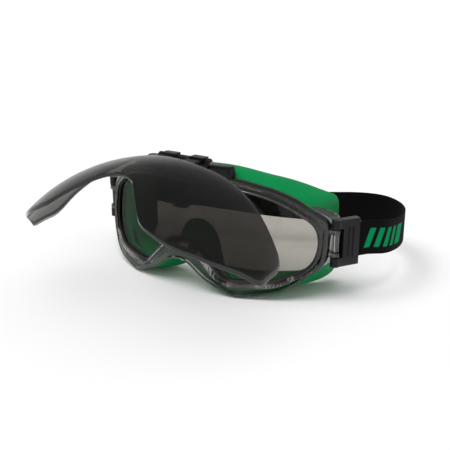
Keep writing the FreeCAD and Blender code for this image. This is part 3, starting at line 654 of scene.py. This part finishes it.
# ------------------------------------------------------------------ shade
def make_shade():
    """Shade: its outline drawn in towards the middle in steps, laid on two spheres.

    The outer sphere and the inner one share a centre. Rings at the rim lie between them on a half
    circle, so that the edge is round. The whole is then turned about the hinge to where it is raised."""
    outline = smoothed(both_halves(even(half_line(SHADE_CORNERS), 150)), 3)
    middle = np.array(SHADE_MIDDLE)
    centre = np.array((0.0, SHADE_TOP_Y + math.sqrt(SHADE_RADIUS ** 2 - SHADE_BULGE ** 2),
                       SHADE_TOP_Z - SHADE_BULGE))
    reach = np.linalg.norm(outline - middle, axis=1, keepdims=True)
    half = SHADE_THICK / 2
    turn = np.linspace(0, math.pi, 9)[1:-1]
    steps = ([(0.0, SHADE_RADIUS)] + [(s, SHADE_RADIUS) for s in np.linspace(0.05, 0.93, 20)]
             + [(0.975, SHADE_RADIUS)])
    edge = [(None, SHADE_RADIUS - half + half * math.cos(t), 0.5 * (1 - math.sin(t))) for t in turn]
    back = [(s, SHADE_RADIUS - SHADE_THICK) for s, _ in reversed(steps)]
    rings = [(middle + (outline - middle) * s, r) for s, r in steps]
    rings += [(middle + (outline - middle) * (1 - d / reach), r) for _, r, d in edge]
    rings += [(middle + (outline - middle) * s, r) for s, r in back]
    points = []
    for ring, radius in rings:
        xz = ring + (0, SHADE_TOP_Z)
        y = centre[1] - np.sqrt(radius ** 2 - xz[:, 0] ** 2 - (xz[:, 1] - centre[2]) ** 2)
        points.append(with_y(xz, y))
    points = np.array(points)
    cos, sin = math.cos(SHADE_RAISED), math.sin(SHADE_RAISED)
    raised = np.stack([points[..., 0], points[..., 1] * cos - points[..., 2] * sin,
                       points[..., 1] * sin + points[..., 2] * cos], axis=-1) + HINGE
    faces = grid_faces(len(raised), raised.shape[1], False, True).reshape(-1, 4)
    piece = add_mesh("shade_pane", raised, faces, tinted_polycarbonate)
    piece.data.materials.append(shade_edge)
    heights = np.arange(len(raised) - 1).repeat(raised.shape[1])
    first = len(steps)
    on_edge = ((heights >= first) & (heights < first + len(edge) - 1)).astype(np.int32)
    piece.data.polygons.foreach_set("material_index", on_edge)
    piece.visible_shadow = False        # light reaches the frame and floor under the thin sheet
    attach(piece, "shade")
    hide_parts("shade_lens")


# ------------------------------------------------------------------ head strap
def spline(points, count):
    """Natural cubic spline through points, by chord length, at even shares of its parameter."""
    points = np.array(points, float)
    knots = np.concatenate([[0], np.cumsum(np.linalg.norm(np.diff(points, axis=0), axis=1))])
    gap = np.diff(knots)
    n = len(points)
    matrix = np.eye(n)
    right = np.zeros((n, 3))
    i = np.arange(1, n - 1)
    matrix[i, i - 1], matrix[i, i], matrix[i, i + 1] = gap[:-1], 2 * (gap[:-1] + gap[1:]), gap[1:]
    slope = np.diff(points, axis=0) / gap[:, None]
    right[1:-1] = 6 * np.diff(slope, axis=0)
    bend = np.linalg.solve(matrix, right)
    at = np.linspace(0, knots[-1], count)
    k = np.clip(np.searchsorted(knots, at) - 1, 0, n - 2)
    h, a, b = gap[k][:, None], (knots[k + 1] - at)[:, None], (at - knots[k])[:, None]
    return (bend[k] * a ** 3 / (6 * h) + bend[k + 1] * b ** 3 / (6 * h)
            + (points[k] / h - bend[k] * h / 6) * a + (points[k + 1] / h - bend[k + 1] * h / 6) * b)


def strap_path(side):
    """Lower edge of the band from inside a clip to the middle of the slider, evenly spaced."""
    out = np.array((side * math.sin(CLIP_FLARE), math.cos(CLIP_FLARE), 0.0))
    pivot = np.array((side * CLIP_AT[0], CLIP_AT[1], STRAP_BOTTOM_Z))
    start = [tuple(pivot + out * reach) for reach in (8.2, 12.0, 16.0, 22.0)]
    route = list(NEAR_ROUTE if side > 0 else FAR_ROUTE)
    return even(spline(start + route + [SLIDER_AT], 400), 260 if side > 0 else 110)


def band_points(path, low, high, out_from, out_to, across):
    """Band along a path: at each point a flat section, as (share of width, share of thickness)."""
    along = unit(np.gradient(path, axis=0) * (1, 1, 0))
    outside = np.stack([along[:, 1], -along[:, 0], np.zeros(len(path))], axis=1)
    up, through = across[:, 0], across[:, 1]
    height = low + (high - low) * up
    offset = out_from + (out_to - out_from) * through
    return (path[:, None] + outside[:, None] * offset[None, :, None]
            + np.array((0, 0, 1.0)) * height[None, :, None])


def section(width_steps=12):
    """Closed section of a band with soft edges, as shares of its width and thickness."""
    rise = np.linspace(0.04, 0.96, width_steps)
    outer = np.stack([rise, np.ones_like(rise)], axis=1)
    top = np.array(((0.985, 0.85), (1.0, 0.5), (0.985, 0.15)))
    inner = np.stack([rise[::-1], np.zeros_like(rise)], axis=1)
    return np.vstack([outer, top, inner, top[::-1] * (-1, 1) + (1, 0)])


def closed_band(points):
    """Faces of a band: its long sides as a grid, and its two ends as one face each."""
    rows, columns = points.shape[:2]
    faces = grid_faces(rows, columns, False, True).reshape(-1, 4).tolist()
    faces.append(list(range(columns)))
    faces.append([(rows - 1) * columns + i for i in range(columns)])
    return faces


def band_uv(path, across, width):
    run = np.concatenate([[0], np.cumsum(np.linalg.norm(np.diff(path, axis=0), axis=1))])
    return np.stack(np.broadcast_arrays(run[:, None], across[None, :, 0] * width), axis=-1)


def blend_clip(piece):
    """Bakes the piece's transform into its mesh."""
    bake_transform(piece)


def make_strap():
    """Two halves of the elastic band, meeting inside the slider."""
    across = section()
    for side, name, gone in ((1, "left", ("strap_band", "strap_end_left")),
                             (-1, "right", ("strap_end_right",))):
        path = strap_path(side)
        half = STRAP_THICK / 2
        outer = (half, -half) if side < 0 else (-half, half)
        points = band_points(path, 0.0, STRAP_WIDTH, outer[0], outer[1], across)
        piece = add_mesh(f"head_band_{name}", points, closed_band(points), knitted_elastic,
                         uv=band_uv(path, across, STRAP_WIDTH))
        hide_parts(*gone)
        blend_clip(piece)


def make_tail():
    """Folded end of the band: a short flat run inside the band, which slides with the slider."""
    across = section()
    path = np.array(SLIDER_AT) + np.linspace(*TAIL_SPAN, 24)[:, None] * np.array(SLIDER_RUN)
    points = band_points(path, 0.0, STRAP_WIDTH, *TAIL_DEPTH, across)
    piece = add_mesh("band_fold", points, closed_band(points), knitted_elastic,
                     uv=band_uv(path, across, STRAP_WIDTH))
    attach(piece, "slider")
    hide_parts("strap_tail")


def make_motif():
    """Plain slanted bars printed on the band: parallelograms that lean forward up the band."""
    path = strap_path(1)
    run = np.concatenate([[0], np.cumsum(np.linalg.norm(np.diff(path, axis=0), axis=1))])
    turning = np.gradient(path, axis=0).T
    steps = PRINT_STEPS
    last = steps - 1
    grid = np.linspace(0, 1, steps)
    for index, (start, width, low, high) in enumerate(PRINT_BARS):
        across, up = np.meshgrid(grid, grid, indexing="ij")
        at = start + across * width + up * PRINT_LEAN
        base = np.stack([np.interp(at, run, column) for column in path.T], axis=-1)
        slope = np.stack([np.interp(at, run, column) for column in turning], axis=-1)
        slope = unit(slope * (1, 1, 0))
        outside = np.stack([slope[..., 1], -slope[..., 0], np.zeros_like(at)], axis=-1)
        near_edge = np.minimum(np.minimum(across, 1 - across) * width,
                               np.minimum(up, 1 - up) * (high - low))
        raise_by = STRAP_THICK / 2 + 0.22 * ease(0, 0.5, near_edge) - 0.05
        height = np.stack([np.zeros_like(at), np.zeros_like(at), low + up * (high - low)], axis=-1)
        front = base + outside * raise_by[..., None] + height
        back = base + outside * (STRAP_THICK / 2 - 0.3) + height
        points = np.vstack([front.reshape(-1, 3), back.reshape(-1, 3)])
        cells = grid_faces(steps, steps).reshape(-1, 4)
        count = steps * steps
        rim = np.concatenate([np.arange(steps), np.arange(1, steps) * steps + last,
                              last * steps + np.arange(last - 1, -1, -1),
                              np.arange(last - 1, 0, -1) * steps])
        skirt = np.stack([rim, np.roll(rim, -1), np.roll(rim, -1) + count, rim + count], axis=-1)
        uv = np.stack([at, low + up * (high - low)], axis=-1).reshape(-1, 2)
        faces = np.vstack([cells, cells[:, ::-1] + count, skirt])
        piece = add_mesh(f"print_bar_{index + 1}", points, faces, printed_green,
                         uv=np.vstack([uv, uv]))
        blend_clip(piece)


# ------------------------------------------------------------------ pieces kept from the CAD
def dress(node, material):
    """Give a CAD node its finish, in every material slot of its object."""
    for place in frame["nodes"][node].material_slots:
        place.material = material


make_frame()
make_lugs()
make_seal()
make_shade()
make_strap()
make_tail()
make_motif()
for node in ("shade_carrier", "hinge_base"):
    polish(node + "_moulding", node, 0.35, black_nylon)
for node in ("strap_clip_left", "strap_clip_right", "strap_slider"):
    polish(node + "_moulding", node, 0.4, black_nylon)
dress("clear_lens", clear_polycarbonate)
frame["nodes"]["clear_lens"].visible_shadow = False
dress("lens_gasket", rubber)
dress("brow_vent_baffle", black_nylon)
dress("shade_rivets", black_nylon)
for node in ("clip_pin_left", "clip_pin_right"):
    dress(node, smoke_polycarbonate)
for node in ("hinge_pin", "detent_spring"):
    dress(node, bright_steel)


# ------------------------------------------------------------------ room, lights and camera
def make_floor():
    mesh = bpy.data.meshes.new("floor")
    reach, low = FLOOR_REACH, FLOOR_HEIGHT
    mesh.from_pydata([(-reach, -reach, low), (reach, -reach, low), (reach, reach, low),
                      (-reach, reach, low)], [], [(0, 1, 2, 3)])
    material, tree = start_material("matt_white_paper")
    shader = add_node(tree, "ShaderNodeBsdfPrincipled", None,
                      {"Base Color": (0.92, 0.92, 0.92, 1), "Roughness": 0.9, "Specular IOR Level": 0.0})
    finish_material(tree, shader.outputs[0])
    mesh.materials.append(material)
    floor = bpy.data.objects.new("floor", mesh)
    bpy.context.scene.collection.objects.link(floor)


def make_lights():
    world = bpy.data.worlds.new("studio")
    world.use_nodes = True
    tree = world.node_tree
    at = add_node(tree, "ShaderNodeTexCoord").outputs["Generated"]
    height = add_node(tree, "ShaderNodeSeparateXYZ", None, {0: at}).outputs["Z"]
    share = add_node(tree, "ShaderNodeMapRange", None,
                     {"Value": height, "From Min": 0.12, "From Max": 0.45}).outputs[0]
    tone = add_node(tree, "ShaderNodeMix", {"data_type": "RGBA"},
                    {"Factor": share, 6: (1, 1, 1, 1), 7: (0.42, 0.42, 0.42, 1)}).outputs[2]
    tree.links.new(tone, tree.nodes["Background"].inputs["Color"])
    bpy.context.scene.world = world
    sun = bpy.data.lights.new("soft_overhead", "SUN")
    sun.energy = SUN_STRENGTH
    sun.angle = SUN_ANGLE
    lamp = bpy.data.objects.new("soft_overhead", sun)
    lamp.rotation_euler = SUN_TURN
    lamp.visible_glossy = False         # the shade mirrors the room, not the lamp
    bpy.context.scene.collection.objects.link(lamp)


def make_camera():
    data = bpy.data.cameras.new("camera")
    data.lens = CAMERA_LENS
    data.sensor_width = 36.0
    data.clip_end = 100.0
    camera = bpy.data.objects.new("camera", data)
    azimuth, elevation = CAMERA_AZIMUTH, CAMERA_ELEVATION
    look = Vector((-math.sin(azimuth) * math.cos(elevation), math.cos(azimuth) * math.cos(elevation),
                   -math.sin(elevation)))
    camera.location = to_frame(np.array(CAMERA_AT)).tolist()
    camera.rotation_euler = look.to_track_quat("-Z", "Y").to_euler()
    bpy.context.scene.collection.objects.link(camera)
    bpy.context.scene.camera = camera


make_floor()
make_lights()
make_camera()
bpy.context.scene.view_settings.view_transform = "Standard"
